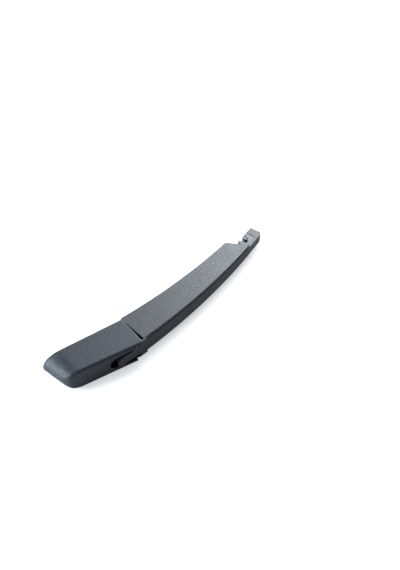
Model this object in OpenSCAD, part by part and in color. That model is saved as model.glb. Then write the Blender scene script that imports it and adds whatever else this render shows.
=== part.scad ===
// Rear window wiper arm, without its blade: a cast head under a moulded cover, and a bowed
// moulded arm on a hinge pin, pulled toward the glass by a tension spring.
// Frame, in mm: it lies on its side, as it rests. +X runs from the spindle to the blade end,
// +Y points to the glass, -Y to the outside, +Z up. The spindle axis is the Y axis, and the
// hinge axis is parallel to Z.

/* [Head cover] */
// Width over the cover's side faces
cover_width = 27; // [25:0.5:30]
// Distance from the spindle axis to the cover's outer face
cover_outer = 19.5; // [18:0.5:22]
// Distance from the spindle axis to the cover's closed end
cover_end = 20.8; // [20:0.2:22]
// Distance from the spindle axis to the cover's open end
cover_far = 72.5; // [70:0.1:73]
// Thickness of the cover's walls
cover_wall = 1.8; // [1.4:0.1:2]
// Radius of the cover's long outer edges
cover_edge = 3.6; // [2:0.2:4.5]
// Half the width of the slot that lets the arm's tail turn
slot_half = 6.9; // [6.5:0.1:7.5]

/* [Arm] */
// Length of the bowed arm from its near end to its slanted end
arm_length = 177; // [150:1:200]
// Direction of the arm where it starts, in degrees toward the glass
arm_lean = 13.6; // [10:0.1:15]
// How far the arm bows toward the glass over its length, in degrees
arm_bow = 13; // [6:0.5:16]
// Depth of the arm at its near end
depth_near = 38.7; // [34:0.1:40]
// Depth of the arm at its slanted end
depth_far = 25.5; // [22:0.1:28]
// Width of the arm at its near end
width_near = 21.6; // [20:0.1:24]
// Width of the arm at its slanted end
width_far = 15; // [14:0.1:18]
// Thickness of the arm's walls
arm_wall = 2.3; // [2:0.1:2.6]

/* [Hinge and spring] */
// Diameter of the hinge pin
pin_d = 6; // [5:0.1:6]
// Diameter of the spring's coils
coil_d = 9; // [8:0.5:9.5]
// Diameter of the spring wire
wire_d = 1.7; // [1.4:0.1:1.8]
// Number of turns in the spring
coil_turns = 14; // [8:1:16]

/* [Spindle end] */
// Diameter of the hole for the spindle's threaded stud
stud_hole_d = 8.4; // [8.2:0.1:9]
// Diameter of the tapered seat at its mouth
taper_mouth_d = 12.4; // [12:0.1:13]
// Diameter of the pocket for the nut and its socket
nut_pocket_d = 16.4; // [16:0.1:17]

/* [Blade clip] */
// Diameter of the blade's cross pin
blade_pin_d = 5; // [4:0.1:5.4]
// Length of the tongue beyond the arm's slanted end
tongue_length = 30; // [26:1:32]
// Width of the tongue
tongue_width = 11.4; // [10:0.1:12]

/* [Hidden] */
$fn = 64;
eps = 0.01;
past = 30;           // how far a cut runs on past the part
fit = 0.02;          // seated pins, radial
run = 0.04;          // turning pins, radial
face_gap = 0.1;      // sliding side faces

// Across the hinge, from the middle plane out: cheeks, bush flanges, rails, cover
hinge = [58, -9.5];                      // hinge axis, in X and Y
pin_r = pin_d / 2;
half_w = cover_width / 2;
inner_half = half_w - cover_wall;
cheek_out = 5.8;                         // outer side of the arm's two hinge cheeks
cheek_in = 3.2;
flange_t = 0.6;                          // flange of a hinge bush
rail_t = 2.8;
lug_in = cheek_out + flange_t + face_gap;
lug_out = lug_in + rail_t;
pad_gap = 0.2;
pad_in = lug_out + pad_gap;              // pads inside the cover that turn on the pin's ends
pad_r = 6;
pin_half = half_w - 1.3;
eye_r = 7.5;
bush_r = pin_r + 1.3;
bush_rim = 1.6;

// Tail of the arm, behind the hinge
tail_end = 14.5;                         // its length behind the hinge axis
tail_outer = 10.1;                       // from the hinge axis to its outer face
plate_t = 2.1;
fold = 12;                               // lean of its outer face past the cover's, in degrees
tail_tip = hinge[0] - tail_end * cos(fold) + tail_outer * sin(fold);
flare = [73.6, 79];                      // where it widens to the arm's width, from the spindle axis
slot_end = 38.6;                         // closed end of the slot
slot_mid = [68, 9.8];                    // how far and to what half the slot widens along the outer face
slot_far = [76.5, 13];                   // and where it has widened to the side faces

arm_start = [81.3, -14.8];               // outer face of the arm at its near end
stop_gap = 0.3;                          // between the folded arm and the casting's stop
head_anchor = [52, 4.5];                 // spring pin in the casting
arm_anchor = [122, 9];                   // spring pin in the arm
anchor_r = 2;
anchor_half = 9.1;                       // half the arm's spring pin

stations = 20;
bow_r = arm_length / (arm_bow * PI / 180);

// Point on the arm's outer line at a share t of its length, and its direction there
function lean(t) = arm_lean + arm_bow * t;
function outer(t) = arm_start + bow_r * [sin(lean(t)) - sin(arm_lean), cos(arm_lean) - cos(lean(t))];
function along(t) = [cos(lean(t)), sin(lean(t))];
function toward(t) = [-sin(lean(t)), cos(lean(t))];
function mix(a, b, t) = a + (b - a) * t;
function limit(t) = min(1, max(0, t));
tip = outer(1);
tip_lean = lean(1);

// Half of a channel's ring from the rim round one outer edge, in depth and height
function ring_half(depth, half, r, n = 7) = concat(
    [[depth, half]],
    [for (i = [0:n]) let (a = 90 * i / n) [r - r * sin(a), half - r + r * cos(a)]]);
function mirrored(pts) = [for (i = [len(pts) - 1:-1:0]) [pts[i][0], -pts[i][1]]];
function ring(depth, half, r) = let (h = ring_half(depth, half, r)) concat(h, mirrored(h));

// Solid through a list of rings that hold the same number of points
module skin(rings) {
    n = len(rings[0]);
    m = len(rings);
    polyhedron(
        points = [for (k = rings) for (p = k) p],
        faces = concat(
            [[for (i = [0:n - 1]) i]],
            [for (j = [0:m - 2]) for (i = [0:n - 1]) for (f = [0, 1])
                let (a = j * n + i, b = j * n + (i + 1) % n, c = b + n, d = a + n)
                f == 0 ? [a, c, b] : [a, d, c]],
            [[for (i = [n - 1:-1:0]) (m - 1) * n + i]]));
}

// Places its children at the arm's share t, X along the arm and Y toward the glass
module at(t) translate(outer(t)) rotate(lean(t)) children();
module at_tip() at(1) children();
module at_hinge() translate(hinge) children();
module both() for (s = [-1, 1]) scale([1, 1, s]) children();

// Bar across the part, parallel to Z, and a plate of a plan in X and Y, even about the middle plane
module rod(r, from, to) translate([0, 0, from]) cylinder(r = r, h = to - from);
module across(width) translate([0, 0, -width / 2]) linear_extrude(width) children();

// Arm: a channel that bows and tapers, skinned through rings along its outer line
edge_near = 4;                           // radius of its outer edges at the near end
edge_far = 1.9;
edge_least = 0.6;
near_wall = 2.4;                         // wall across the near end
over = 3;                                // how far the inside is cut past the rim
function arm_depth(t) = mix(depth_near, depth_far, t);
function arm_half(t) = mix(width_near, width_far, t) / 2;
function arm_edge(t) = mix(edge_near, edge_far, t);
function arm_ring(t, inset, above, shift) = [for (p = ring(arm_depth(t) + above, arm_half(t) - inset,
        max(arm_edge(t) - inset, edge_least)))
    let (v = p[0] + (p[0] > arm_depth(t) ? 0 : inset), q = outer(t) + toward(t) * v + along(t) * shift)
    [q[0], q[1], p[1]]];

slant_run = 12.5;                        // how far the slanted end leans back over the depth
mouth_half = 5;
module arm_shell() difference() {
    skin([for (i = [0:stations]) arm_ring(i / stations, 0, 0, 0)]);
    skin(concat([arm_ring(0, arm_wall, over, near_wall)],
        [for (i = [1:stations - 1]) arm_ring(i / stations, arm_wall, over, 0)],
        [arm_ring(1, arm_wall, over, 1)]));
    // side walls cut off at a slant, the outer wall left on
    at_tip() across(40)
        polygon([[0.2, arm_wall + 0.3], [-slant_run, depth_far + 4.5], [-slant_run, 40], [10, 40],
            [10, arm_wall + 0.3]]);
    // mouth for the spring in the near end wall
    at(0) translate([-1, arm_wall, -mouth_half]) cube([near_wall + 3.6, 40, 2 * mouth_half]);
}

rib_at = [0.34, 0.46, 0.58, 0.70, 0.82];
rib_t = 1.6;
rib_rise = 0.42;                         // height of a cross rib, as a share of the arm's depth
sink = 0.4;                              // how far ribs and pads reach into the wall that carries them
spring_boss_r = 4.2;
module arm_ribs() {
    for (t = rib_at) at(t) translate([0, arm_wall - sink, -arm_half(t) + arm_wall - sink])
        cube([rib_t, arm_depth(t) * rib_rise, 2 * (arm_half(t) - arm_wall + sink)]);
    // bosses that hold the spring pin
    both() translate(arm_anchor) rod(spring_boss_r, mouth_half, anchor_half - 0.5);
}

// Tail and hinge cheeks: a plate in line with the outer face, flared ahead of the hinge, on two cheeks
tail_reach = tail_end + 24;
module tail_plan(end_r) translate([0, past, 0]) rotate([90, 0, 0]) linear_extrude(2 * past) {
    translate([tail_tip + end_r, 0]) circle(r = end_r);
    side = [[tail_tip + end_r, end_r], [flare[0], end_r], [flare[1], width_near / 2],
        [arm_start[0] + 2, width_near / 2]];
    polygon(concat(side, mirrored(side)));
}
module arm_tail() difference() {
    intersection() {
        union() {
            across(2 * cheek_out) at_hinge() {
                circle(r = eye_r);
                rotate(fold) translate([-tail_end, -tail_outer]) square([tail_reach, tail_outer]);
                rotate(fold) translate([-4, -6]) square([36, 11]);
            }
            at_hinge() rotate(fold) translate([-tail_end, -tail_outer, -half_w])
                cube([tail_reach, plate_t, cover_width]);
        }
        tail_plan(cheek_out);
    }
    // room between the cheeks for the spring's leg
    at_hinge() rotate(fold) translate([4 - tail_end, plate_t + 0.6 - tail_outer, -cheek_in])
        cube([60, past, 2 * cheek_in]);
    at_hinge() rod(bush_r + fit, -half_w, half_w);
}

// Tongue: the outer wall runs on past the slanted end, to a block with a rounded outer corner
tongue_t = 2.8;
block_length = 11.1;
block_depth = 14.6;
block_draft = 2.6;                       // lean of the block's inner face
seam = tongue_length - block_length;     // where the clip ends and the block starts
module arm_tongue() at_tip() across(tongue_width) {
    translate([-6, 0]) square([tongue_length, tongue_t]);
    polygon([[seam, 0], [tongue_length - 6, 0], [tongue_length - 2.8, 1.4], [tongue_length - 0.9, 4.4],
        [tongue_length, 8], [tongue_length + 0.3, block_depth - 1.4], [seam + block_draft, block_depth]]);
}

clip_hole = [-9, 8];                     // clip's pin, from the tip along the arm and in
clip_pin_r = 1.5;
clip_pin_half = 6.3;
neck = [16, 9.4, 9.6];                   // part of the clip that plugs into the channel
module arm_moulding() color([0.20, 0.21, 0.23]) difference() {
    union() {
        arm_shell();
        arm_ribs();
        arm_tail();
        arm_tongue();
        // pads in the channel that hold the clip's pin
        both() at_tip() translate(clip_hole) rod(clip_pin_r + 1.1, neck[2] / 2 + 0.15, clip_pin_half - 0.3);
    }
    translate(arm_anchor) rod(anchor_r + fit, -anchor_half - 0.1, anchor_half + 0.1);
    at_tip() translate(clip_hole) rod(clip_pin_r + fit, -clip_pin_half - 0.1, clip_pin_half + 0.1);
}

// Head cover: an open channel with a rounded closed end, skinned through rings that slant with it
nose_start = 2;                          // where the side faces start to curve in
nose_drop = 9;                           // rounding of the outer face into the closed end
nose_steps = 12;
rim_near = 13.9;                         // glass-side rim, from the spindle axis: at the closed end
rim_far = 19.1;                          // and at the open end
rim_drop = 2.2;                          // rounding of the rim at the closed end
slant_end = 0.38;                        // slant of the closed end, of the straight part, of the open end
slant_nose = 0.17;
slant_far = 0.138;
end_half = 1.6;
function nose_part(x) = limit((nose_start - x) / (cover_end + nose_start));
function cover_half(x) = max(end_half, half_w * sqrt(1 - pow(nose_part(x), 2)));
function drop(x) = let (t = limit((nose_drop - x - cover_end) / nose_drop)) nose_drop * (1 - sqrt(1 - t * t));
function slant(x) = x < nose_start ? mix(slant_nose, slant_end, nose_part(x))
    : mix(slant_nose, slant_far, (x - nose_start) / (cover_far - nose_start));
function cover_ring(x, inset, above) = let (half = cover_half(x), depth = cover_outer - drop(x),
        r = min(cover_edge, half * 0.9), less = min(inset, half * 0.4))
    [for (p = ring(above + depth, max(half - inset, edge_least), r - less))
    let (y = p[0] - depth + (p[0] > depth ? 0 : inset))
    [x + slant(x) * (rim_near - y), y, p[1]]];
// Stations, closer together toward the closed end
function nose_x(i) = nose_start - (cover_end + nose_start) * sin(90 * i / nose_steps);
outside_x = concat([for (i = [nose_steps:-1:0]) nose_x(i)], [nose_start + 6, 30, 50, cover_far]);
inside_x = concat([cover_wall - cover_end],
    [for (i = [nose_steps:-1:0]) if (nose_x(i) > cover_wall + 0.5 - cover_end) nose_x(i)],
    [nose_start + 6, 30, 50, cover_far + over]);

module cover_shell() difference() {
    skin([for (x = outside_x) cover_ring(x, 0, rim_far + 5)]);
    skin([for (x = inside_x) cover_ring(x, cover_wall, rim_far + 7)]);
    // the rim, cut straight, and rounded down at the closed end
    across(2 * past) polygon([[-cover_end - 10, rim_near - 2 * rim_drop],
        [-cover_end - 1, rim_near - rim_drop], [-cover_end + 1.6, rim_near - 0.5],
        [-cover_end + 5, rim_near + 0.3], [cover_far, rim_far], [cover_far + 10, rim_far],
        [cover_far + 10, 40], [-cover_end - 10, 40]]);
}

snap = [8, 3, 1.4];                      // ribs that hold the cover shut on the casting
snap_at = [14, 9];
stay_at = [24, 32];                      // low cross ribs under the outer face
stay = [1.2, 1.4];
module head_cover() color([0.17, 0.18, 0.20]) difference() {
    union() {
        cover_shell();
        // pads that turn on the hinge pin's ends
        both() at_hinge() rod(pad_r, pad_in, inner_half + 0.5);
        both() translate([snap_at[0], snap_at[1], inner_half - 0.9]) cube(snap);
        for (x = stay_at) translate([x, cover_wall - sink - cover_outer, -inner_half])
            cube([stay[0], stay[1] + sink, 2 * inner_half]);
    }
    at_hinge() rod(pin_r + run, -pin_half - 0.1, pin_half + 0.1);
    // slot for the arm's tail, open to the far end
    translate([0, 5 - cover_outer, 0]) rotate([90, 0, 0]) linear_extrude(12) {
        translate([slot_end + slot_half, 0]) circle(r = slot_half);
        side = [[slot_end + slot_half, slot_half], slot_mid, slot_far, [cover_far + 20, slot_far[1]]];
        polygon(concat(side, mirrored(side)));
    }
}

// Head casting: a boss on the spindle, two rails to the hinge, and a stop for the folded arm
seat_y = 2;                              // step between the tapered seat and the stud hole
taper_fall = 1;                          // how much the seat's radius narrows to that step
nut_y = -3;                              // face under the nut
boss_y = 12;                             // glass end of the boss
boss_outer = 8;                          // its outer end
boss_r = nut_pocket_d / 2 + 1.6;
web_y = 11.5;                            // glass side of the rails and of the web between them
web_t = 2.9;
stop = [11.2, 15.2];                     // the stop's two sides, from the spindle axis
hole = [30, 1];                          // lightening hole in each rail
hole_r = 4;
block = [18, 20.5];
slot_w = 11;                             // room between the rails
// Where the casting ends in front of the folded arm's near end, at a distance toward the glass
function near_face(y) = arm_start[0] - (y - arm_start[1]) * tan(arm_lean) - stop_gap / cos(arm_lean);
module rail() translate([0, 0, lug_in]) linear_extrude(rail_t) difference() {
    union() {
        at_hinge() circle(r = eye_r);
        polygon([[4, web_y - block[1]], [hinge[0], hinge[1] - eye_r + 1.5], [hinge[0] + 7, hinge[1]], [66, 4],
            [near_face(10.5), 10.5], [near_face(stop[1]), stop[1]], [60, stop[1]], [44, web_y], [4, web_y]]);
    }
    at_hinge() circle(r = pin_r + fit);
    translate(head_anchor) circle(r = anchor_r + fit);
    translate(hole) circle(r = hole_r);
}

module head_casting() color([0.13, 0.13, 0.14]) difference() {
    union() {
        both() rail();
        rotate([90, 0, 0]) translate([0, 0, -boss_y]) cylinder(r = boss_r, h = boss_y + boss_outer);
        translate([0, web_y - block[1], -lug_out]) cube([block[0], block[1], 2 * lug_out]);
        // web between the rails on the glass side, and the stop that the arm folds against
        translate([10, web_y - web_t, -lug_out]) cube([30, web_t, 2 * lug_out]);
        across(2 * lug_out)
            polygon([[64, stop[0]], [near_face(stop[0]), stop[0]],
                [near_face(stop[1]), stop[1]], [64, stop[1]]]);
    }
    // nut pocket, stud hole and tapered seat along the spindle axis
    translate([0, nut_y, 0]) rotate([90, 0, 0]) cylinder(r = nut_pocket_d / 2, h = past);
    rotate([90, 0, 0]) translate([0, 0, -past]) cylinder(r = stud_hole_d / 2, h = 2 * past);
    translate([0, seat_y, 0]) rotate([-90, 0, 0])
        cylinder(r1 = taper_mouth_d / 2 - taper_fall, r2 = taper_mouth_d / 2, h = boss_y - seat_y + eps);
    translate([block[0] + eps, web_y - web_t - past, -slot_w / 2]) cube([60, past - 0.6, slot_w]);
}

module hinge_pin() color([0.72, 0.73, 0.75]) at_hinge() rod(pin_r, -pin_half, pin_half);
module head_spring_pin() color([0.70, 0.71, 0.73]) translate(head_anchor) rod(anchor_r, -lug_out, lug_out);
module arm_spring_pin() color([0.70, 0.71, 0.73]) translate(arm_anchor)
    rod(anchor_r, -anchor_half, anchor_half);

module hinge_bushes() color([0.86, 0.85, 0.80]) both() at_hinge() difference() {
    union() {
        rod(bush_r, cheek_in, cheek_out + flange_t);
        rod(bush_r + bush_rim, cheek_out + fit, cheek_out + flange_t);
    }
    rod(pin_r + run, 0, half_w);
}

// Tension spring: a straight leg from the head's pin past the hinge, then coils to the arm's pin
span = arm_anchor - head_anchor;
spring_len = norm(span);
spring_dir = atan2(span[1], span[0]);
coil_from = 32;
coil_to = spring_len - 7;
coil_r = (coil_d - wire_d) / 2;
wire_r = wire_d / 2;
wire_fn = 20;
hook_gap = 0.15;
hook_turn = 200;
leg_y = anchor_r + wire_r + hook_gap;
coil_steps = coil_turns * 12;
wire_steps = 8;
coil_rise = atan2((coil_to - coil_from) / coil_turns, 2 * PI * coil_r);

// Coils as a skin of rings along the helix
function helix(t, r) = let (a = 360 * coil_turns * t) [mix(coil_from, coil_to, t), r * cos(a), r * sin(a)];
function coil_ring(t) = let (a = 360 * coil_turns * t)
    [for (i = [0:wire_steps - 1]) let (b = -360 * i / wire_steps)
    helix(t, coil_r + wire_r * cos(b))
    + wire_r * sin(b) * [cos(coil_rise), sin(a) * sin(coil_rise), -cos(a) * sin(coil_rise)]];
module hook() rotate_extrude(angle = hook_turn) translate([leg_y, 0]) circle(r = wire_r, $fn = wire_fn);
module leg(from, to) translate([from, leg_y, 0]) rotate([0, 90, 0])
    cylinder(r = wire_r, h = to - from, $fn = wire_fn);

module tension_spring() color([0.55, 0.56, 0.58])
    translate(head_anchor) rotate(spring_dir) {
        skin([for (j = [0:coil_steps]) coil_ring(j / coil_steps)]);
        rotate(90) hook();
        leg(0, coil_from);
        translate([spring_len, 0, 0]) rotate(90 - hook_turn) hook();
        leg(coil_to, spring_len);
    }

// Blade clip: a body on the tongue with an open jaw for the blade's pin, a hook and a spring slit
jaw = [tongue_length - 21.8, 8.6];       // blade pin's axis, along the tongue and in from its outer face
seat_gap = 0.1;                          // between the clip and the tongue
clip_top = block_depth + 1;
jaw_mouth = 3.8;
slit_w = 0.8;
module clip_outline() polygon([[0.4, tongue_t + seat_gap], [seam - 0.2, tongue_t + seat_gap],
    [seam - 0.2 + block_draft, block_depth], [jaw[0] + 6.8, clip_top], [jaw[0] + 3.4, clip_top - 0.4],
    [jaw[0] + 2, clip_top - 4.2], [jaw[0] - 1.6, clip_top - 4.2], [jaw[0] - 2.6, clip_top],
    [jaw[0] - 5.8, clip_top], [jaw[0] - 7, clip_top - 3], [0.4, 9]]);
module blade_clip() color([0.23, 0.24, 0.26]) at_tip() difference() {
    union() {
        across(tongue_width) difference() {
            clip_outline();
            translate(jaw) circle(r = blade_pin_d / 2 + 0.05);
            translate([jaw[0] - jaw_mouth / 2, jaw[1]]) square([jaw_mouth, 12]);
            // slit that lets the far jaw give
            translate([jaw[0] + 3.7, jaw[1] - 1]) rotate(-24) translate([-slit_w / 2, 0])
                square([slit_w, 12]);
        }
        translate([1 - neck[0], tongue_t + seat_gap, -neck[2] / 2]) cube(neck);
    }
    translate(clip_hole) rod(clip_pin_r + fit, -half_w, half_w);
}
module clip_pin() color([0.70, 0.71, 0.73]) at_tip() translate(clip_hole)
    rod(clip_pin_r, -clip_pin_half, clip_pin_half);

head_casting();
head_cover();
hinge_pin();
head_spring_pin();
arm_moulding();
hinge_bushes();
arm_spring_pin();
tension_spring();
blade_clip();
clip_pin();
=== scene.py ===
import bpy
import bmesh
from math import radians, degrees, sin, cos, tan, asin, acos, sqrt, pi, atan2
from mathutils import Vector, Matrix


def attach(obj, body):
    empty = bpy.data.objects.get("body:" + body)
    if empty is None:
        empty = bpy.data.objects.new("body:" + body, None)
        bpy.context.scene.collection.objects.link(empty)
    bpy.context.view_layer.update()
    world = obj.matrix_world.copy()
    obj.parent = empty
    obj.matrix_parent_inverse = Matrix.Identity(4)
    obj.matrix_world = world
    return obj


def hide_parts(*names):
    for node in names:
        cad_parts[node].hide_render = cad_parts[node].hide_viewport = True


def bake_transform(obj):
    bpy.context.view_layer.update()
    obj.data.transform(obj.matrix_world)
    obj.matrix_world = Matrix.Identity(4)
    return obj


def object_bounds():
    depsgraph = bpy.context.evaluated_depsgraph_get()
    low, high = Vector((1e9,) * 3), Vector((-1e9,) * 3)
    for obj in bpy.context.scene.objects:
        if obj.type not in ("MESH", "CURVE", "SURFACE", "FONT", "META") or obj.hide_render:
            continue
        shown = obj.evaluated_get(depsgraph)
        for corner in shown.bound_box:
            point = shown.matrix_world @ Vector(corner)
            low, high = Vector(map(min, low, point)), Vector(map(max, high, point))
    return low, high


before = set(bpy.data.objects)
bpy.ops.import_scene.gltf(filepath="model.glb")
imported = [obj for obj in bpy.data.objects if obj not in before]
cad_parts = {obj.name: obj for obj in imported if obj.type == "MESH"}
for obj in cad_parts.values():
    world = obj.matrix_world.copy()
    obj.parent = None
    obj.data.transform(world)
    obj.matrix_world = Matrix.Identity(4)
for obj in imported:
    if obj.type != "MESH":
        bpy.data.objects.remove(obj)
cad_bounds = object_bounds()

# Camera
# It looks down on the arm from its outer side, with the head nearest and the tip furthest.
# Its frame is centred a little beyond the cover, where the arm takes up the lower left half.
AZIMUTH, ELEVATION, DISTANCE = radians(-31), radians(47), 0.8
SENSOR = 36
FRAME_HEIGHT = 0.57                      # metres seen over the picture's height, at the distance
CENTRE_RIGHT, CENTRE_UP = 0.1329, 0.0838
back = Vector((sin(AZIMUTH) * cos(ELEVATION), -cos(AZIMUTH) * cos(ELEVATION), sin(ELEVATION)))
right = Vector((cos(AZIMUTH), sin(AZIMUTH), 0))
up = back.cross(right)
camera_data = bpy.data.cameras.new("camera")
camera = bpy.data.objects.new("camera", camera_data)
bpy.context.scene.collection.objects.link(camera)
camera.matrix_world = Matrix((right, up, back)).transposed().to_4x4()
camera.location = right * CENTRE_RIGHT + up * CENTRE_UP + back * DISTANCE
camera_data.sensor_width = SENSOR
camera_data.lens = DISTANCE / FRAME_HEIGHT * SENSOR
camera_data.clip_start = 0.01
bpy.context.scene.camera = camera

# Head cover
# A moulded cap with a rounded closed end that slants. It turns on the hinge pin and hides the nut,
# and a slot in its outer face lets the arm's tail swing. Modelled in mm, like every piece below.
HINGE = Vector((58, -9.5, 0))
COVER_HALF, COVER_OUTER, COVER_END, COVER_FAR = 13.5, 19.5, 20.8, 72.5
COVER_WALL, COVER_EDGE, LEAST_EDGE = 1.8, 3.6, 0.6
NOSE_START, NOSE_DROP, NOSE_STEPS, NOSE_HALF = 2, 9, 30, 1.6
MOST_EDGE, MOST_INSET = 0.9, 0.4         # shares of the half width, where the end grows narrow
STRAIGHT_AT, LEAST_STEP = [8, 30, 50], 0.4      # stations ahead of the rounded end
RIM_NEAR, RIM_FAR = 13.9, 19.1
RIM_ROUND = ((-10, -4.4), (-1, -2.2), (1.6, -0.5), (5, 0.3))    # from the closed end and the near rim
SLANT_END, SLANT_NOSE, SLANT_FAR = 0.38, 0.17, 0.138
PAD_R, PAD_IN, SEATED = 6, 9.5, 0.5      # pads on the hinge pin, sunk into the side walls
SNAP_FROM, SNAP_TO, SNAP_RISE = (14, 9), (22, 12), 0.9
STAY_AT, STAY_T, STAY_LOW, STAY_HIGH = (24, 32), 1.2, 1.4, 3.2
SLOT_END, SLOT_HALF, SLOT_DEPTH = 38.6, 6.9, 5
SLOT_UPPER = [(68, 9.8), (76.5, 13)]     # how the slot widens along its two edges
SLOT_LOWER = [(66, 9.3), (70, 11), (71, 14)]
PIN_R, RUN, PIN_ROOM = 3, 0.04, 12.3
SPARE, INSIDE_SPARE, OVER = 5, 7, 3      # how far a skin and an inside run on before they are cut
PAST, CLEAR = 10, 40                     # how far a cut runs past an end, and past every face
WELD = 0.002                             # points closer than this are one


def mix(a, b, t):
    return a + (b - a) * t


def limit(t):
    return min(1, max(0, t))


def both_sides(upper, lower=None):
    """Outline of an upper side and of a lower one turned over, its middle point not repeated."""
    return upper + [(x, -z) for x, z in reversed(lower or upper) if z]


def both_ways(near, far):
    """The stretch from near to far below the middle plane, and above it."""
    return (-far, -near), (near, far)


def ring(depth, half, r, steps=10):
    """Open channel's section, from one rim round the outer face to the other, in depth and height."""
    side = [(depth, half)]
    for i in range(steps + 1):
        a = pi / 2 * i / steps
        side.append((r - r * sin(a), half - r + r * cos(a)))
    return both_sides(side)


def arc(centre, r, start, end, steps=24):
    return [(centre[0] + r * cos(radians(mix(start, end, i / steps))),
             centre[1] + r * sin(radians(mix(start, end, i / steps)))) for i in range(steps + 1)]


def round_end(start, r, steps=16):
    """Upper half of a rounded end, from its tip at start to where it is r high."""
    return [(start + r - r * cos(a), r * sin(a)) for a in (pi / 2 * i / steps for i in range(steps + 1))]


def pick(piece):
    """Selects one piece alone, because an operator acts on all that is selected."""
    bpy.ops.object.select_all(action="DESELECT")
    piece.select_set(True)
    bpy.context.view_layer.objects.active = piece


def added(name):
    """Names the primitive that was just added and puts its place into its mesh."""
    piece = bpy.context.object
    piece.name = piece.data.name = name
    pick(piece)
    bpy.ops.object.transform_apply(location=True, rotation=True, scale=True)
    return piece


def turn_outward():
    """Points the faces of the mesh in edit mode outward, and leaves edit mode."""
    bpy.ops.mesh.select_all(action="SELECT")
    bpy.ops.mesh.normals_make_consistent(inside=False)
    bpy.ops.object.mode_set(mode="OBJECT")


def outlined(name, points, fill_type="NGON"):
    """A circle with its points moved onto an outline, left selected in edit mode."""
    bpy.ops.mesh.primitive_circle_add(vertices=len(points), fill_type=fill_type)
    piece = added(name)
    for v, p in zip(piece.data.vertices, points):
        v.co = p
    bpy.ops.object.mode_set(mode="EDIT")
    bpy.ops.mesh.select_all(action="SELECT")
    return piece


def skin(name, rings):
    """Closed solid: a face with the first ring's outline, extruded from ring to ring."""
    piece = outlined(name, rings[0])
    front = list(range(len(rings[0])))
    for points in rings[1:]:
        bpy.ops.mesh.extrude_region_move()
        bm = bmesh.from_edit_mesh(piece.data)
        bm.verts.index_update()
        bm.verts.ensure_lookup_table()
        for k, p in enumerate(points):
            old = bm.verts[front[k]]
            new = next(v for v in (e.other_vert(old) for e in old.link_edges) if v.select)
            new.co = p
            front[k] = new.index
    bmesh.update_edit_mesh(piece.data)
    turn_outward()
    return piece


def prism(name, outline, low, high, along="z"):
    """Closed solid of an outline in X and Y run along Z, or of a plan in X and Z run along Y."""
    put = (lambda p, h: (p[0], p[1], h)) if along == "z" else (lambda p, h: (p[0], h, p[1]))
    return skin(name, [[put(p, h) for p in outline] for h in (low, high)])


def rod(name, centre, r, low, high, sides=64):
    """Bar parallel to Z."""
    bpy.ops.mesh.primitive_cylinder_add(vertices=sides, radius=r, depth=high - low,
                                        location=(centre[0], centre[1], (low + high) / 2))
    return added(name)


def box(name, low, high):
    middle = [(a + b) / 2 for a, b in zip(low, high)]
    bpy.ops.mesh.primitive_cube_add(size=1, location=middle, scale=[b - a for a, b in zip(low, high)])
    return added(name)


def combine(piece, how, *others):
    """Unites a piece with other solids, cuts it by them or keeps what they share."""
    for other in others:
        pick(piece)
        change = piece.modifiers.new("change", "BOOLEAN")
        change.operation = how
        change.object = other
        change.solver = "MANIFOLD"
        bpy.ops.object.modifier_apply(modifier=change.name)
        bpy.data.objects.remove(other)
    return piece


def finish(piece, bevel, angle=32, segments=2):
    """Rounds a piece's sharp edges, turns it from mm to metres and smooths its shading."""
    pick(piece)
    bpy.ops.object.mode_set(mode="EDIT")
    bpy.ops.mesh.select_all(action="SELECT")
    bpy.ops.mesh.remove_doubles(threshold=WELD)
    bpy.ops.mesh.dissolve_degenerate(threshold=WELD)
    bpy.ops.object.mode_set(mode="OBJECT")
    if bevel:
        edges = piece.modifiers.new("edges", "BEVEL")
        edges.width = bevel
        edges.segments = segments
        edges.limit_method = "ANGLE"
        edges.angle_limit = radians(angle)
        edges.miter_outer = "MITER_ARC"
        bpy.ops.object.modifier_apply(modifier=edges.name)
    piece.data.materials.clear()
    piece.scale = (0.001, 0.001, 0.001)
    bpy.ops.object.transform_apply(location=True, rotation=True, scale=True)
    bpy.ops.object.shade_smooth_by_angle(angle=radians(angle))
    flat = piece.modifiers.new("flat", "WEIGHTED_NORMAL")
    flat.keep_sharp = True
    bpy.ops.object.modifier_apply(modifier=flat.name)
    return piece


def nose_part(x):
    return limit((NOSE_START - x) / (COVER_END + NOSE_START))


def drop(x):
    """How far the outer face has rounded down into the closed end."""
    t = limit((NOSE_DROP - x - COVER_END) / NOSE_DROP)
    return NOSE_DROP * (1 - sqrt(1 - t * t))


def slant(x):
    if x < NOSE_START:
        return mix(SLANT_NOSE, SLANT_END, nose_part(x))
    return mix(SLANT_NOSE, SLANT_FAR, (x - NOSE_START) / (COVER_FAR - NOSE_START))


def cover_ring(x, inset, above):
    half = max(NOSE_HALF, COVER_HALF * sqrt(1 - nose_part(x) ** 2))
    depth = COVER_OUTER - drop(x)
    r = min(COVER_EDGE, half * MOST_EDGE) - min(inset, half * MOST_INSET)
    points = []
    for d, z in ring(above + depth, max(half - inset, LEAST_EDGE), r):
        y = d - depth + (0 if d > depth else inset)
        points.append((x + slant(x) * (RIM_NEAR - y), y, z))
    return points


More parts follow.
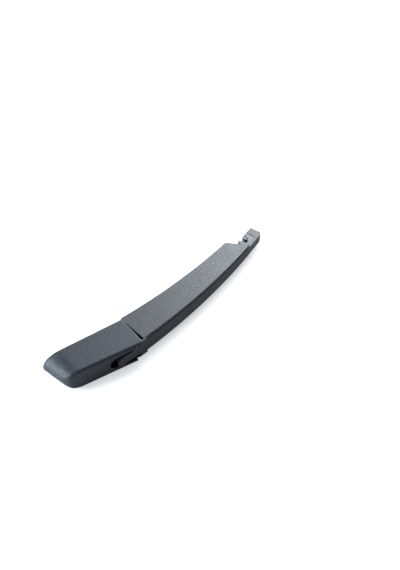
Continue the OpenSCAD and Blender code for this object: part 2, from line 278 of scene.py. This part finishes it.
nose_at = [NOSE_START - (COVER_END + NOSE_START) * sin(pi / 2 * i / NOSE_STEPS)
           for i in range(NOSE_STEPS, -1, -1)]
outside = nose_at + STRAIGHT_AT + [COVER_FAR]
inner_end = COVER_WALL - COVER_END
inside = [inner_end] + [x for x in outside if x > inner_end + LEAST_STEP] + [COVER_FAR + OVER]
cover = skin("cover_shell", [cover_ring(x, 0, RIM_FAR + SPARE) for x in outside])
combine(cover, "DIFFERENCE",
        skin("inside", [cover_ring(x, COVER_WALL, RIM_FAR + INSIDE_SPARE) for x in inside]))
rim = [(x - COVER_END, RIM_NEAR + y) for x, y in RIM_ROUND]
rim += [(COVER_FAR, RIM_FAR), (COVER_FAR + PAST, RIM_FAR), (COVER_FAR + PAST, CLEAR), (rim[0][0], CLEAR)]
combine(cover, "DIFFERENCE", prism("rim", rim, -CLEAR, CLEAR))
inner_half = COVER_HALF - COVER_WALL
for low, high in both_ways(PAD_IN, inner_half + SEATED):
    combine(cover, "UNION", rod("pad", HINGE, PAD_R, low, high))
for low, high in both_ways(inner_half - SNAP_RISE, inner_half + SEATED):
    combine(cover, "UNION", box("snap_rib", (*SNAP_FROM, low), (*SNAP_TO, high)))
for x in STAY_AT:
    combine(cover, "UNION", box("stay", (x, STAY_LOW - COVER_OUTER, -inner_half),
                                (x + STAY_T, STAY_HIGH - COVER_OUTER, inner_half)))
combine(cover, "DIFFERENCE", rod("pin_bore", HINGE, PIN_R + RUN, -PIN_ROOM, PIN_ROOM))
slot = both_sides(round_end(SLOT_END, SLOT_HALF) + SLOT_UPPER + [(COVER_FAR + CLEAR, SLOT_UPPER[-1][1])],
                  round_end(SLOT_END, SLOT_HALF) + SLOT_LOWER + [(COVER_FAR + CLEAR, SLOT_LOWER[-1][1])])
combine(cover, "DIFFERENCE", prism("slot", slot, -CLEAR, SLOT_DEPTH - COVER_OUTER, "y"))
finish(cover, bevel=0.6, segments=3)
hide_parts("head_cover")
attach(cover, "cover")


class Value:
    """What a node puts out. Python's operators on it add Math nodes."""

    def __init__(self, tree, socket):
        self.tree, self.socket = tree, socket

    def math(self, operation, *others):
        return add_node(self.tree, "Math", {"operation": operation}, dict(enumerate((self, *others))))

    def __add__(self, other):
        return self.math("ADD", other)

    def __mul__(self, other):
        return self.math("MULTIPLY", other)

    def __sub__(self, other):
        return self.math("SUBTRACT", other)

    def __rsub__(self, other):
        return add_node(self.tree, "Math", {"operation": "SUBTRACT"}, {0: other, 1: self})

    __radd__, __rmul__ = __add__, __mul__

    def clamp(self, low, high):
        return self.math("MAXIMUM", low).math("MINIMUM", high)

    def colour(self, dark, light):
        """Colour from dark at 0 to light at 1, and on beyond at the same rate."""
        return add_node(self.tree, "Mix", {"data_type": "RGBA", "clamp_factor": False},
                        {"Factor": self, "A": (*dark, 1), "B": (*light, 1)}, "Result")


def fill(tree, node, inputs):
    """Gives a node's inputs their values or links."""
    for name, value in inputs.items():
        if isinstance(value, Value):
            tree.links.new(value.socket, node.inputs[name])
        else:
            node.inputs[name].default_value = value


def add_node(tree, kind, settings, inputs, output=0):
    """Adds a node, sets it up, fills its inputs and gives one of its outputs."""
    node = tree.nodes.new("ShaderNode" + kind)
    for name, value in settings.items():
        setattr(node, name, value)
    fill(tree, node, inputs)
    return Value(tree, node.outputs[output])


def noise(tree, scale, detail, rough, stretch=(1, 1, 1), turn=(0, 0, 0)):
    place = add_node(tree, "TexCoord", {}, {}, "Object")
    place = add_node(tree, "Mapping", {}, {"Vector": place, "Scale": stretch, "Rotation": turn})
    return add_node(tree, "TexNoise", {}, {"Vector": place, "Scale": scale, "Detail": detail,
                                           "Roughness": rough}, "Fac")


def distance(tree, axis):
    """How far a point lies along an axis, in metres."""
    place = add_node(tree, "TexCoord", {}, {}, "Object")
    return add_node(tree, "SeparateXYZ", {}, {"Vector": place}, axis)


def bump(tree, height, depth):
    return add_node(tree, "Bump", {}, {"Strength": 1, "Distance": depth, "Height": height}, "Normal")


def material(name):
    """New material and its node tree."""
    surface = bpy.data.materials.new(name)
    surface.use_nodes = True
    return surface, surface.node_tree


END_SCUFF_AND_LIGHT_FROM, END_SCUFF_AND_LIGHT_RATE = 0.1, 110          # the cover grows paler toward its closed end: scuffs, and painted light on the end
STREAKS, STREAK_LEVEL, STREAK_RATE = 420, 0.53, 12
STREAK_STRETCH, STREAK_TURN = (0.25, 1, 1), (0.4, 0.3, 0.9)
# A painted highlight: a thin pale band along the open end's rim, where its corners round over.
PAINTED_HIGHLIGHT_AT, PAINTED_HIGHLIGHT_RATE = (COVER_FAR + SLANT_FAR * RIM_NEAR) / 1000, 1600
PAINTED_HIGHLIGHT_HALF, HIGHLIGHT_CORNER_RATE = 0.0128, 3000  # a painted highlight along its open end, on its corners only
PAINTED_HIGHLIGHT_LEAD = 1.2                        # so the painted highlight starts 0.75 mm before the edge
# Tones of the painted light on the closed end and of the painted highlight on the open end.
END_PAINTED_LIGHT_TONE, PAINTED_HIGHLIGHT_TONE = 1.2, 14


def cover_scuffs_and_painted_light(tree, scuffs):
    """Scuffs and painted light on the closed end, and a painted highlight along the corners of the open end.
    """
    x, y, z = (distance(tree, axis) for axis in "XYZ")
    # paler toward the closed end: painted light on the end, with the scuff streaks laid on it
    end_scuffs_and_light = (-END_SCUFF_AND_LIGHT_FROM - END_SCUFF_AND_LIGHT_RATE * x).clamp(0, 1)
    streaks = noise(tree, STREAKS, 4, 0.7, STREAK_STRETCH, STREAK_TURN)
    streaks = ((streaks - STREAK_LEVEL).clamp(0, 1) * STREAK_RATE).clamp(0, 1)
    # painted highlight along the corners of the open end, standing in for light caught by the rim
    highlight_band = ((x + y * SLANT_FAR - PAINTED_HIGHLIGHT_AT) * PAINTED_HIGHLIGHT_RATE + PAINTED_HIGHLIGHT_LEAD).clamp(0, 1)
    corner = ((z.math("ABSOLUTE") - PAINTED_HIGHLIGHT_HALF) * HIGHLIGHT_CORNER_RATE).clamp(0, 1)
    return end_scuffs_and_light * (streaks * scuffs + END_PAINTED_LIGHT_TONE) + highlight_band * corner * PAINTED_HIGHLIGHT_TONE


CLOUDS, SPECKS, RESIN_SHEEN = 60, 520, 0.38


def resin(name, dark, light, rough, grain, depth, scuffs=0.0):
    """Glass-filled resin off an etched mould: fine grain, cloudy patches and paler specks."""
    plastic, tree = material(name)
    cloud = noise(tree, CLOUDS, 4, 0.6)
    fine = noise(tree, grain, 2, 0.6)
    speck = noise(tree, SPECKS, 2, 0.6)
    shade = 2 * (0.6 * cloud + 1.8 * speck + 0.3 * fine - 1.1)
    # only the cover gets scuffs, painted light on its closed end and a painted highlight on its open end
    if scuffs:
        shade = shade + cover_scuffs_and_painted_light(tree, scuffs)
    fill(tree, tree.nodes["Principled BSDF"], {
        "Base Color": shade.clamp(0, 15).colour(dark, light),
        "Roughness": rough - 0.11 + 0.12 * cloud + 0.1 * fine,
        "Specular IOR Level": RESIN_SHEEN,
        "Normal": bump(tree, fine + 1.5 * speck, depth)})
    return plastic


cover.data.materials.append(resin("cover_resin", (0.015, 0.019, 0.027), (0.028, 0.034, 0.045),
                                  rough=0.5, grain=2600, depth=0.00012, scuffs=3.5))

# Arm moulding
# A channel that bows toward the glass and tapers, with a slanted far end, cross ribs inside, a tail
# and two cheeks round the hinge pin, and a tongue that carries the blade's clip.
ARM_LENGTH, ARM_LEAN, ARM_BOW = 177, 13.6, 13
ARM_START = Vector((81.3, -14.8, 0))
ARM_WALL, NEAR_WALL = 2.3, 2.4
DEPTHS, HALVES, EDGES = (38.7, 25.5), (10.8, 7.5), (4, 1.9)
STATIONS = 60
SIDE_RUN, SLANT_BACK, SLANT_RISE, SLANT_OVER = 2.2, 9, 0.3, 2       # slanted end of the side walls
FAR_END = 1 + SIDE_RUN / ARM_LENGTH
SPRING_MOUTH_HALF, MOUTH_LENGTH = 5, 5   # opening in the near wall that lets the spring in
RIB_AT, RIB_T, RIB_RISE, SINK = (0.34, 0.46, 0.58, 0.70, 0.82), 1.6, 0.42, 0.4
ARM_ANCHOR, ANCHOR_R, ANCHOR_BOSS = (122, 9), 2, (4.2, 5, 8.6)
CLIP_HOLE, CLIP_PIN_R, CLIP_BOSS = (-9, 8), 1.5, (2.6, 4.95, 6)
FOLD = radians(12)                       # lean of the tail's outer face past the cover's
TAIL_END, TAIL_FAR, TAIL_OUTER, PLATE = 14.5, 24, 10.1, 2.1
TAIL_IN = 2                              # how far the tail reaches into the arm
TAIL_BACK, LEG_GAP = 4, 0.6              # the spring's leg has its room between the cheeks
CHEEK_OUT, CHEEK_IN, EYE_R = 5.8, 3.2, 7.5
JOIN_FAR, JOIN_LOW, JOIN_HIGH = 32, -6, 5
FLARE = [(73.6, CHEEK_OUT), (74.2, 8.6), (75.6, HALVES[0])]
BUSH_R, FIT, ARM_PIN_ROOM, CLIP_PIN_ROOM = PIN_R + 1.3, 0.02, 9.2, 6.4
TONGUE, TONGUE_HALF, TONGUE_T, TONGUE_FROM, BLOCK_DEPTH = 30, 5.7, 2.8, -6, 14.6
SEAM, SEAM_LEAN, SEAM_OUT = TONGUE - 11.1, 2.6, 2.7       # where the clip ends and the block starts
BLOCK_TOP = BLOCK_DEPTH + 0.8
TIP_LINE = [(-6, 0), (-2.6, 0.4), (-0.6, 1.2), (0.5, 2.3), (1.4, 3.8), (1.8, 6.2), (1.8, 9),
            (1.6, BLOCK_DEPTH - 0.6), (0.2, BLOCK_DEPTH + 0.7)]
TIP_R, TIP_REACH = 2.2, 1.8
bow_r = ARM_LENGTH / radians(ARM_BOW)


def lean(t):
    return radians(ARM_LEAN + ARM_BOW * t)


def outer(t):
    """Point on the arm's outer line at a share of its length."""
    a = radians(ARM_LEAN)
    return ARM_START + bow_r * Vector((sin(lean(t)) - sin(a), cos(a) - cos(lean(t)), 0))


def placed(points, place, angle):
    """Points in X and Y, turned and then moved to a place."""
    move = Matrix.Translation(place) @ Matrix.Rotation(angle, 4, "Z")
    return [tuple(move @ Vector((x, y, 0)))[:2] for x, y in points]


def on_arm(t, points):
    """Points given along the arm and in toward the glass, from its outer line at t."""
    return placed(points, outer(t), lean(t))


def on_hinge(points):
    """Points given along the folded tail and in toward the glass, from the hinge axis."""
    return placed(points, HINGE, FOLD)


def rectangle(low, high):
    return [(low[0], low[1]), (high[0], low[1]), (high[0], high[1]), (low[0], high[1])]


def arm_ring(t, inset=0.0, above=0.0, shift=0.0):
    depth, half = mix(*DEPTHS, t), mix(*HALVES, t)
    along = Vector((cos(lean(t)), sin(lean(t)), 0))
    inward = Vector((-sin(lean(t)), cos(lean(t)), 0))
    points = []
    for d, z in ring(depth + above, half - inset, max(mix(*EDGES, t) - inset, LEAST_EDGE)):
        p = outer(t) + inward * (d + (0 if d > depth else inset)) + along * shift
        points.append((p.x, p.y, z))
    return points


stations = [i / STATIONS * FAR_END for i in range(STATIONS + 1)]
arm = skin("arm_channel", [arm_ring(t) for t in stations])
hollow = [arm_ring(0, ARM_WALL, OVER, shift=NEAR_WALL)]
hollow += [arm_ring(t, ARM_WALL, OVER) for t in stations[1:-1]]
hollow.append(arm_ring(FAR_END, ARM_WALL, OVER, shift=1))
combine(arm, "DIFFERENCE", skin("hollow", hollow))
slant_foot = ARM_WALL + SLANT_RISE
slant_cut = [(SIDE_RUN, slant_foot), (-SLANT_BACK, DEPTHS[1] + SLANT_OVER), (-SLANT_BACK, CLEAR),
             (PAST, CLEAR), (PAST, slant_foot)]
mouth = rectangle((-1, ARM_WALL), (MOUTH_LENGTH, CLEAR))
combine(arm, "DIFFERENCE", prism("slant", on_arm(1, slant_cut), -CLEAR, CLEAR),
        prism("mouth", on_arm(0, mouth), -SPRING_MOUTH_HALF, SPRING_MOUTH_HALF))
for t in RIB_AT:
    half = mix(*HALVES, t) - ARM_WALL + SINK
    foot = ARM_WALL - SINK
    rib = rectangle((0, foot), (RIB_T, foot + mix(*DEPTHS, t) * RIB_RISE))
    combine(arm, "UNION", prism("rib", on_arm(t, rib), -half, half))
clip_at = on_arm(1, [CLIP_HOLE])[0]
for place, (r, near, far) in ((ARM_ANCHOR, ANCHOR_BOSS), (clip_at, CLIP_BOSS)):
    for low, high in both_ways(near, far):
        combine(arm, "UNION", rod("boss", place, r, low, high))

tail_tip = HINGE.x - TAIL_END * cos(FOLD) + TAIL_OUTER * sin(FOLD)
tail_plan = both_sides(round_end(tail_tip, CHEEK_OUT) + FLARE + [(ARM_START.x + TAIL_IN, HALVES[0])])
cheeks = [(-TAIL_END, -TAIL_OUTER), (TAIL_FAR, -TAIL_OUTER), (TAIL_FAR, JOIN_LOW), (JOIN_FAR, JOIN_LOW),
          (JOIN_FAR, JOIN_HIGH)]
cheeks += arc((0, 0), EYE_R, degrees(asin(JOIN_HIGH / EYE_R)), 180) + [(-TAIL_END, 0)]
tail = prism("tail", on_hinge(cheeks), -CHEEK_OUT, CHEEK_OUT)
plate = rectangle((-TAIL_END, -TAIL_OUTER), (TAIL_FAR, PLATE - TAIL_OUTER))
combine(tail, "UNION", prism("plate", on_hinge(plate), -COVER_HALF, COVER_HALF))
combine(tail, "INTERSECT", prism("plan", tail_plan, -CLEAR, CLEAR, "y"))
leg_room = rectangle((TAIL_BACK - TAIL_END, PLATE + LEG_GAP - TAIL_OUTER), (JOIN_FAR + CLEAR, CLEAR))
combine(tail, "DIFFERENCE", prism("leg_room", on_hinge(leg_room), -CHEEK_IN, CHEEK_IN),
        rod("bush_bore", HINGE, BUSH_R, -CLEAR, CLEAR))
combine(arm, "UNION", tail)

tongue = [(TONGUE_FROM, 0)] + [(TONGUE + x, y) for x, y in TIP_LINE]
tongue += [(SEAM + SEAM_OUT, BLOCK_TOP), (SEAM + SEAM_LEAN * TONGUE_T / BLOCK_DEPTH, TONGUE_T),
           (TONGUE_FROM, TONGUE_T)]
tongue = prism("tongue", on_arm(1, tongue), -TONGUE_HALF, TONGUE_HALF)
tip_corner = (TONGUE + TIP_REACH - TIP_R, TONGUE_HALF - TIP_R)
tip_plan = both_sides([(-CLEAR, TONGUE_HALF)] + arc(tip_corner, TIP_R, 90, 0, 8))
combine(tongue, "INTERSECT", skin("tip", [[(*on_arm(1, [(x, y)])[0], z) for x, z in tip_plan]
                                          for y in (-PAST, CLEAR)]))
combine(arm, "UNION", tongue)
combine(arm, "DIFFERENCE",
        rod("spring_pin_bore", ARM_ANCHOR, ANCHOR_R + FIT, -ARM_PIN_ROOM, ARM_PIN_ROOM),
        rod("clip_pin_bore", clip_at, CLIP_PIN_R + FIT, -CLIP_PIN_ROOM, CLIP_PIN_ROOM))
finish(arm, bevel=0.25)
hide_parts("arm_moulding")
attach(arm, "arm")
arm.data.materials.append(resin("arm_resin", (0.012, 0.0145, 0.020), (0.020, 0.024, 0.032),
                                rough=0.46, grain=2600, depth=0.00012))

# Blade clip
# A snap-in body on the tongue, moulded in the same resin: an open jaw for the blade's cross pin,
# a hook before it, and a slit that lets the far side of the jaw give. A neck plugs it into the arm.
JAW = Vector((TONGUE - 21.8, 8.6, 0))
JAW_R, MOUTH_HALF = 2.55, 1.9
SEAT, CLIP_TOP = TONGUE_T + 0.1, BLOCK_DEPTH + 1
CLIP_FROM, CLIP_HEEL, SEAM_FOOT, SEAM_TOP = 2.4, (0.6, 9), 0.4, 0.5
FAR_LIP = [(6.8, 0), (3.4, -0.4), (MOUTH_HALF, -4.2)]     # from the jaw's axis and the clip's top
HOOK = [(-MOUTH_HALF, -4.2), (-2.6, 0), (-5.8, 0), (-7, -3)]
SLIT_AT, SLIT_LEAN, SLIT_HALF, SLIT_LENGTH = Vector((3.7, -1, 0)), radians(-24), 0.5, 12
NECK_FROM, NECK_TO, NECK_DEPTH, NECK_HALF = -15, 1, 9.4, 4.8
lip = degrees(acos(MOUTH_HALF / JAW_R))
clip_line = [(CLIP_FROM, SEAT), (SEAM - SEAM_FOOT, SEAT), (SEAM + SEAM_LEAN - SEAM_TOP, BLOCK_TOP)]
clip_line += [(JAW.x + x, CLIP_TOP + y) for x, y in FAR_LIP]
clip_line += arc(JAW, JAW_R, lip, -180 - lip, 40)
clip_line += [(JAW.x + x, CLIP_TOP + y) for x, y in HOOK] + [CLIP_HEEL]
clip = prism("clip_body", on_arm(1, clip_line), -TONGUE_HALF, TONGUE_HALF)
slit = placed(rectangle((-SLIT_HALF, 0), (SLIT_HALF, SLIT_LENGTH)), JAW + SLIT_AT, SLIT_LEAN)
combine(clip, "DIFFERENCE", prism("slit", on_arm(1, slit), -CLEAR, CLEAR))
neck = rectangle((NECK_FROM, SEAT + NECK_DEPTH), (NECK_TO, SEAT))
combine(clip, "UNION", prism("neck", on_arm(1, neck), -NECK_HALF, NECK_HALF))
combine(clip, "DIFFERENCE", rod("clip_bore", clip_at, CLIP_PIN_R + FIT, -CLEAR, CLEAR))
finish(clip, bevel=0.16)
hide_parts("blade_clip")
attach(clip, "arm")
clip.data.materials.append(resin("clip_resin", (0.018, 0.021, 0.027), (0.030, 0.034, 0.043),
                                 rough=0.44, grain=2000, depth=0.00004))

# Tension spring
# Oiled wire: a hook on the head's pin, a leg that passes the hinge on the glass side, close coils
# inside the arm, and a hook on the arm's pin.
HEAD_ANCHOR = Vector((52, 4.5, 0))
WIRE_R, COIL_R, TURNS, TURN_STEPS = 0.85, 3.65, 14, 28
COIL_FROM, COIL_REST = 32, 7
LEG_Y, LEG_STEP = ANCHOR_R + WIRE_R + 0.15, 3
HOOK_OPEN, HOOK_SHUT = 290, 90           # degrees round the pin, from the hook's tip to the leg
span = Vector((*ARM_ANCHOR, 0)) - HEAD_ANCHOR
coil_to = span.length - COIL_REST


def tube(name, path, r, sides=12):
    """Closed wire along a path, its section kept from twisting by carrying it from point to point."""
    rings = []
    side = Vector((0, 0, 1))
    for i, p in enumerate(path):
        ahead = (path[min(i + 1, len(path) - 1)] - path[max(i - 1, 0)]).normalized()
        side = (side - ahead * side.dot(ahead)).normalized()
        other = ahead.cross(side)
        rings.append([tuple(p + (side * cos(a) + other * sin(a)) * r)
                      for a in (2 * pi * k / sides for k in range(sides))])
    return skin(name, rings)


def hook_path(centre, start, end):
    return [Vector((x, y, 0)) for x, y in arc((centre, 0), LEG_Y, start, end)]


path = hook_path(0, HOOK_OPEN, HOOK_SHUT)
path += [Vector((x, LEG_Y, 0)) for x in range(LEG_STEP, COIL_FROM - LEG_STEP, LEG_STEP)]
for i in range(TURNS * TURN_STEPS + 1):
    a = 2 * pi * i / TURN_STEPS
    x = mix(COIL_FROM, coil_to, i / (TURNS * TURN_STEPS))
    path.append(Vector((x, COIL_R * cos(a), COIL_R * sin(a))))
path += hook_path(span.length, HOOK_SHUT, 180 - HOOK_OPEN)
turn = Matrix.Translation(HEAD_ANCHOR) @ Matrix.Rotation(atan2(span.y, span.x), 4, "Z")
spring = finish(tube("tension_coil", [turn @ p for p in path], WIRE_R), bevel=0, angle=60)
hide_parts("tension_spring")
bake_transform(spring)


def steel(name, dark, light, rough, stretch):
    """Turned or drawn steel with fine marks along its length."""
    metal, tree = material(name)
    marks = noise(tree, 900, 3, 0.6, stretch)
    fill(tree, tree.nodes["Principled BSDF"], {
        "Base Color": marks.colour(dark, light),
        "Roughness": rough - 0.1 + 0.2 * marks,
        "Metallic": 1,
        "Normal": bump(tree, marks, 0.00002)})
    return metal


spring.data.materials.append(steel("spring_steel", (0.26, 0.265, 0.27), (0.44, 0.445, 0.45),
                                   rough=0.32, stretch=(0.3, 1, 1)))

# Pins
# Bright zinc plated steel: the hinge pin, the two pins that the spring hooks on, and the clip's pin.
# Each is turned, with chamfered ends.
# Each row has the pin's node, its piece, its centre, radius and half length, and its body.
PINS = {"hinge_pin": ("turned_hinge_pin", HINGE, PIN_R, 12.2, "head"),
        "head_spring_pin": ("turned_head_spring_pin", HEAD_ANCHOR, ANCHOR_R, 9.3, "head"),
        "arm_spring_pin": ("turned_arm_spring_pin", ARM_ANCHOR, ANCHOR_R, 9.1, "arm"),
        "clip_pin": ("turned_clip_pin", clip_at, CLIP_PIN_R, 6.3, "arm")}
PIN_SIDES, CHAMFER, FACE_RING = 48, 0.14, 0.3


def turned(name, centre, profile):
    """Solid of a profile of heights and radii turned round a line parallel to Z."""
    rings = [[(centre[0] + r * cos(a), centre[1] + r * sin(a), z)
              for a in (2 * pi * k / PIN_SIDES for k in range(PIN_SIDES))] for z, r in profile]
    return skin(name, rings)


pin_steel = steel("pin_steel", (0.50, 0.51, 0.52), (0.68, 0.69, 0.70), rough=0.3, stretch=(1, 1, 0.05))
for node, (name, centre, r, half, body) in PINS.items():
    cut = r * CHAMFER
    upper_end = [(half - cut, r), (half, r - cut), (half, r - cut - FACE_RING)]
    lower_end = [(-z, q) for z, q in reversed(upper_end)]
    pin = finish(turned(name, centre, lower_end + upper_end), bevel=0, angle=30)
    pin.data.materials.append(pin_steel)
    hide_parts(node)
    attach(pin, body)

# Hinge bushes
# Two flanged nylon bushes pressed into the arm's cheeks, which turn on the pin. Each is a ring
# with small chamfers on its rims.
FLANGE_T, FLANGE_RISE = 0.6, 1.6
FLANGE_IN, FLANGE_OUT, FLANGE_R = CHEEK_OUT + FIT, CHEEK_OUT + FLANGE_T, BUSH_R + FLANGE_RISE
BUSH_SIDES, BUSH_RIM, FLANGE_RIM = 64, 0.2, (0.1, 0.12)
nylon = resin("nylon", (0.62, 0.60, 0.52), (0.74, 0.72, 0.65), rough=0.4, grain=1500, depth=0.00002)
inner = PIN_R + RUN
section = [(CHEEK_IN, inner + BUSH_RIM), (CHEEK_IN, BUSH_R - BUSH_RIM), (CHEEK_IN + BUSH_RIM, BUSH_R),
           (FLANGE_IN, BUSH_R), (FLANGE_IN, FLANGE_R - FLANGE_RIM[0]), (CHEEK_OUT + FLANGE_RIM[1], FLANGE_R),
           (FLANGE_OUT - FLANGE_RIM[1], FLANGE_R), (FLANGE_OUT, FLANGE_R - FLANGE_RIM[0]),
           (FLANGE_OUT, inner + BUSH_RIM), (FLANGE_OUT - BUSH_RIM, inner), (CHEEK_IN + BUSH_RIM, inner)]
for s, side in ((-1, "lower"), (1, "upper")):
    bush = outlined("bush_" + side, [(HINGE.x + r, HINGE.y, s * z) for z, r in section], "NOTHING")
    bpy.ops.mesh.spin(steps=BUSH_SIDES, angle=2 * pi, center=HINGE, axis=(0, 0, 1))
    bpy.ops.mesh.select_all(action="SELECT")
    bpy.ops.mesh.remove_doubles(threshold=WELD)
    turn_outward()
    finish(bush, bevel=0, angle=30)
    bush.data.materials.append(nylon)
    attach(bush, "arm")
    if s > 0:
        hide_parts("hinge_bushes")

# Head casting
# Die-cast and painted black: a boss on the spindle with a serrated taper seat, two rails to the
# hinge with a web between them, and a stop that the folded arm rests on.
LUG_IN, LUG_OUT = 6.5, 9.3
BOSS_R, BOSS_Y, BOSS_OUTER, BLOCK_X, BLOCK_Y = 9.8, 12, 8, 18, 20.5
POCKET_R, STUD_R, NUT_Y, SEAT_Y = 8.2, 4.2, -3, 2
WEB_Y, WEB_T, WEB_FROM, WEB_TO = 11.5, 2.9, 10, 40
RAIL_FROM, RAIL_STEP, RAIL_NECK, RAIL_FACE = 4, (44, 60), (66, 4), 10.5
RAIL_TOE, RAIL_ROUND = (55.8, -16.7), (-100, 10)     # degrees round the hinge pin
STOP_X, STOP_LOW, STOP_HIGH, STOP_GAP = 64, 11.2, 15.2, 0.3
ROOM_FROM, ROOM_HALF, ROOM_GAP = BLOCK_X + 0.01, 5.5, 0.6
LIGHTENING, LIGHTENING_R = (30, 1), 4
TAPER = [(SEAT_Y, 5.2), (BOSS_Y, 6.2), (BOSS_Y + 1, 6.3)]      # heights and radii of the seat
TEETH, TOOTH_OUT, TOOTH_IN = 48, 0.16, -0.1


def near_face(y):
    """Where the casting ends in front of the folded arm's near end."""
    a = radians(ARM_LEAN)
    return ARM_START.x - (y - ARM_START.y) * tan(a) - STOP_GAP / cos(a)


def drum(name, r, low, high):
    """Cylinder round the spindle axis, which is the Y axis."""
    bpy.ops.mesh.primitive_cylinder_add(vertices=96, radius=r, depth=high - low,
                                        location=(0, (low + high) / 2, 0), rotation=(pi / 2, 0, 0))
    return added(name)


casting = drum("casting_body", BOSS_R, -BOSS_OUTER, BOSS_Y)
outer_y = WEB_Y - BLOCK_Y
combine(casting, "UNION", box("block", (0, outer_y, -LUG_OUT), (BLOCK_X, WEB_Y, LUG_OUT)),
        box("web", (WEB_FROM, WEB_Y - WEB_T, -LUG_OUT), (WEB_TO, WEB_Y, LUG_OUT)))
rail = [(RAIL_FROM, outer_y), RAIL_TOE] + arc(HINGE, EYE_R, *RAIL_ROUND, 20)
rail += [RAIL_NECK, (near_face(RAIL_FACE), RAIL_FACE), (near_face(STOP_HIGH), STOP_HIGH),
         (RAIL_STEP[1], STOP_HIGH), (RAIL_STEP[0], WEB_Y), (RAIL_FROM, WEB_Y)]
for low, high in both_ways(LUG_IN, LUG_OUT):
    combine(casting, "UNION", prism("rail", rail, low, high))
stop = [(STOP_X, STOP_LOW), (near_face(STOP_LOW), STOP_LOW), (near_face(STOP_HIGH), STOP_HIGH),
        (STOP_X, STOP_HIGH)]
combine(casting, "UNION", prism("stop", stop, -LUG_OUT, LUG_OUT))
combine(casting, "DIFFERENCE", drum("pocket", POCKET_R, -CLEAR, NUT_Y),
        drum("stud_hole", STUD_R, -CLEAR, CLEAR),
        box("room", (ROOM_FROM, -CLEAR, -ROOM_HALF), (2 * CLEAR, WEB_Y - WEB_T - ROOM_GAP, ROOM_HALF)),
        rod("pin_bore", HINGE, PIN_R + FIT, -CLEAR, CLEAR),
        rod("anchor_bore", HEAD_ANCHOR, ANCHOR_R + FIT, -CLEAR, CLEAR),
        rod("lightening", LIGHTENING, LIGHTENING_R, -CLEAR, CLEAR))
tooth_at = [(TOOTH_OUT if k % 2 else TOOTH_IN, pi * k / TEETH) for k in range(2 * TEETH)]
combine(casting, "DIFFERENCE", skin("serrations", [[((r + tooth) * cos(a), y, (r + tooth) * sin(a))
                                                    for tooth, a in tooth_at] for y, r in TAPER]))
finish(casting, bevel=0.3, angle=38)
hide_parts("head_casting")
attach(casting, "head")
casting.data.materials.append(resin("black_paint", (0.016, 0.016, 0.018), (0.026, 0.026, 0.028),
                                    rough=0.4, grain=900, depth=0.00008))

# Floor and light
# A white table sweep, whose glow to the camera grows with distance, so that only the soft shadow
# shows on it. Softboxes stand behind, above and beyond the arm.
COOL = (0.87, 0.94, 1)
FLOOR_GLOW, FAR_GLOW = 0.5, 1.9
GLOW_X, GLOW_FROM, GLOW_RATE = 0.12, 0.5, 1.6
WORLD_LIGHT, WORLD_SEEN = 0.3, 0.9
bpy.ops.mesh.primitive_plane_add(size=6, location=(0, 0, cad_bounds[0][2]))
floor = added("floor")
table_white, tree = material("floor_white")
x, y = (distance(tree, axis) for axis in "XY")
away = ((x - GLOW_X) * (x - GLOW_X) + y * y).math("SQRT") * GLOW_RATE - GLOW_FROM
seen = add_node(tree, "LightPath", {}, {}, "Is Camera Ray")
fill(tree, tree.nodes["Principled BSDF"], {
    "Base Color": (0.86, 0.86, 0.87, 1),
    "Roughness": 0.8,
    "Specular IOR Level": 0.1,
    "Emission Color": away.clamp(0, 1).colour((1, 1, 1), (FAR_GLOW, FAR_GLOW, FAR_GLOW)),
    "Emission Strength": seen * FLOOR_GLOW})
floor.data.materials.append(table_white)

world = bpy.data.worlds.new("studio")
bpy.context.scene.world = world
world.use_nodes = True
tree = world.node_tree
seen = add_node(tree, "LightPath", {}, {}, "Is Camera Ray")
fill(tree, tree.nodes["Background"], {"Color": (*COOL, 1), "Strength": seen * WORLD_SEEN + WORLD_LIGHT})


def softbox(name, place, aim, size, power):
    data = bpy.data.lights.new(name, "AREA")
    data.shape = "RECTANGLE"
    data.size, data.size_y = size
    data.energy = power
    data.color = COOL
    lamp = bpy.data.objects.new(name, data)
    bpy.context.scene.collection.objects.link(lamp)
    lamp.location = place
    lamp.rotation_euler = (Vector(aim) - Vector(place)).to_track_quat("-Z", "Y").to_euler()
    return lamp


softbox("key_box", (-0.62, 0.3, 0.2), aim=(0, 0, 0), size=(0.5, 0.3), power=10)
softbox("top_box", (0.42, 0.3, 0.72), aim=(0.12, 0, 0), size=(0.5, 0.5), power=5.5)
far_box = softbox("far_box", (0.82, 0.62, 0.53), aim=(0.25, 0.06, 0), size=(0.4, 0.4), power=18)
far_box.visible_diffuse = False           # a bright card that only shows as sheen on the arm

bpy.context.scene.view_settings.view_transform = "Standard"
